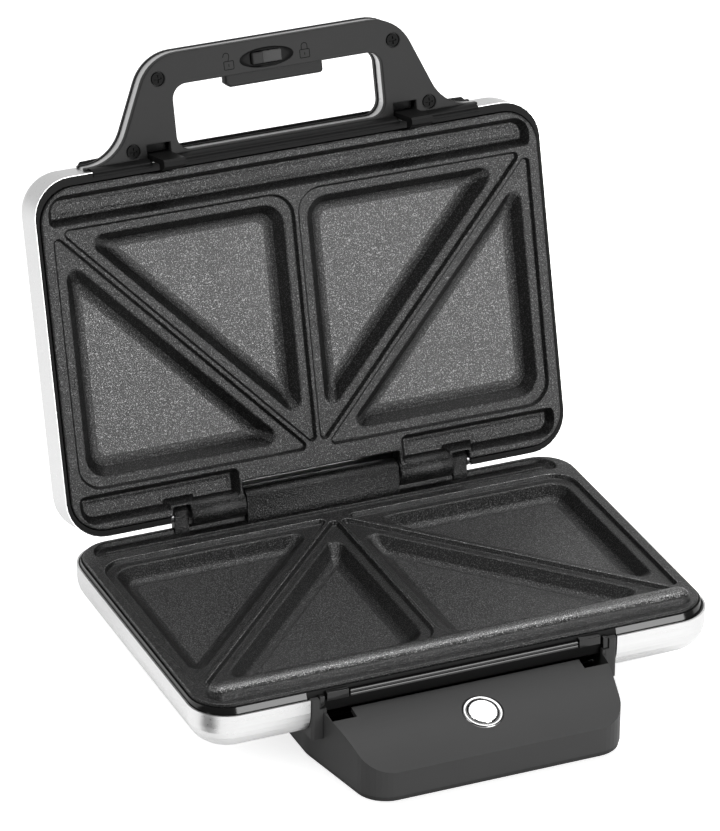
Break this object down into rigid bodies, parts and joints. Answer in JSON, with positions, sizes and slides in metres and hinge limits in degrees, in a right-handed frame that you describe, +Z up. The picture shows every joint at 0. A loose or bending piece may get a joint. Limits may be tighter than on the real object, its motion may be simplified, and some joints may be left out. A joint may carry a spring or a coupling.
{
  "type": "sandwich toaster",
  "caption": "Countertop sandwich toaster with two diagonal-cut moulds, a hinged steel lid standing open, a looped handle with a latch, and a front bracket with a power button.",
  "frame": {"origin": "middle of the part's box in X and Y, with the feet on z = 0", "axes": "+Z up; -Y towards the person using it, the side of the front bracket and, with the lid closed, the handle; +X to that person's right; the hinge runs along X at the rear"},
  "size_m": [0.2544, 0.2762, 0.2572],
  "materials": {
    "steel": "satin, bright",
    "nonstick": "cast, with a dark speckled non-stick coating",
    "gloss_black": "gloss black, heat-proof",
    "satin_black": "satin black, fine grain",
    "silver_trim": "silver, satin",
    "chrome": "bright",
    "rubber": "matt",
    "bright_metal": "plain",
    "heater_sheath": "matt grey",
    "sheet_aluminium": "mill",
    "ceramic": "matt, pale",
    "black_steel": "black oxide"
  },
  "bodies": {
    "base": {"base_shell": "steel", "base_rim": "gloss_black", "lower_plate": "nonstick", "lower_heater": "heater_sheath", "lower_reflector": "sheet_aluminium", "thermostat": "ceramic", "thermal_fuse": "ceramic", "base_housing": "satin_black", "bottom_cover": "satin_black", "cover_screws": "bright_metal", "feet": "rubber", "terminal_block": "ceramic", "cord_gland": "rubber", "button_bezel": "chrome", "button_nut": "satin_black", "button_switch": "satin_black", "button_spring": "bright_metal", "hinge_pin": "bright_metal"},
    "lid": {"lid_shell": "steel", "lid_rim": "gloss_black", "upper_plate": "nonstick", "upper_heater": "heater_sheath", "upper_reflector": "sheet_aluminium", "handle_cover": "satin_black", "handle_band": "silver_trim", "handle_housing": "satin_black", "handle_screws": "black_steel", "latch_springs": "bright_metal"},
    "latch": {"hook_slide": "satin_black", "trigger_bar": "satin_black"},
    "lock": {"lock_slider": "satin_black"},
    "button": {"power_button": "chrome"}
  },
  "joints": [
    {"name": "lid_hinge", "type": "hinge", "parent": "base", "child": "lid", "pos_m": [0, 0.06904, 0.0485], "axis": [1, 0, 0], "range_deg": [0, 104.8]},
    {"name": "latch_slide", "type": "slide", "parent": "lid", "child": "latch", "axis": [0, 0.2554, 0.9668], "range_m": [0, 0.0036], "stiffness_N_per_m": 600, "springref_m": -0.002},
    {"name": "lock_slide", "type": "slide", "parent": "lid", "child": "lock", "axis": [1, 0, 0], "range_m": [0, 0.005]},
    {"name": "button_press", "type": "slide", "parent": "base", "child": "button", "axis": [0, 0.3256, -0.9455], "range_m": [0, 0.0012], "stiffness_N_per_m": 700, "springref_m": -0.0005}
  ]
}
